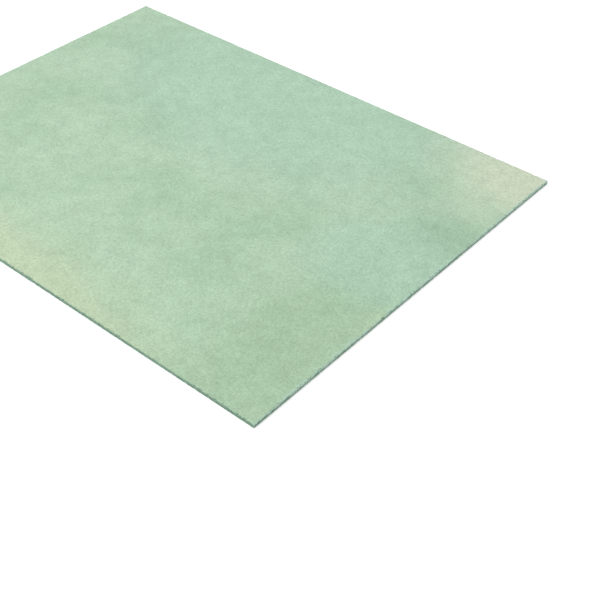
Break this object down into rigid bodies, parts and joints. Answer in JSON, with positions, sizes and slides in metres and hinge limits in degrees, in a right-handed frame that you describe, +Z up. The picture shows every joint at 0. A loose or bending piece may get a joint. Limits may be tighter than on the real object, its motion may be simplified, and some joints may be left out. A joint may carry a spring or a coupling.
{
  "type": "fiberboard underlay panel",
  "caption": "Flat rectangular green wood-fibre softboard sheet with square-cut edges, laid loose as a cushioning, levelling layer under a floating floor.",
  "frame": {"origin": "centre of the underside, on the surface that the sheet lies on", "axes": "+X along the long side, +Y along the short side, +Z up out of the top face"},
  "size_m": [0.79, 0.59, 0.0055],
  "materials": {
    "green_softboard": "matt felted wood fibre, dyed pale green in the pulp, unsanded, with cut edges that show the loose fibre"
  },
  "bodies": {
    "root": {"underlay_panel": "green_softboard"}
  },
  "joints": []
}
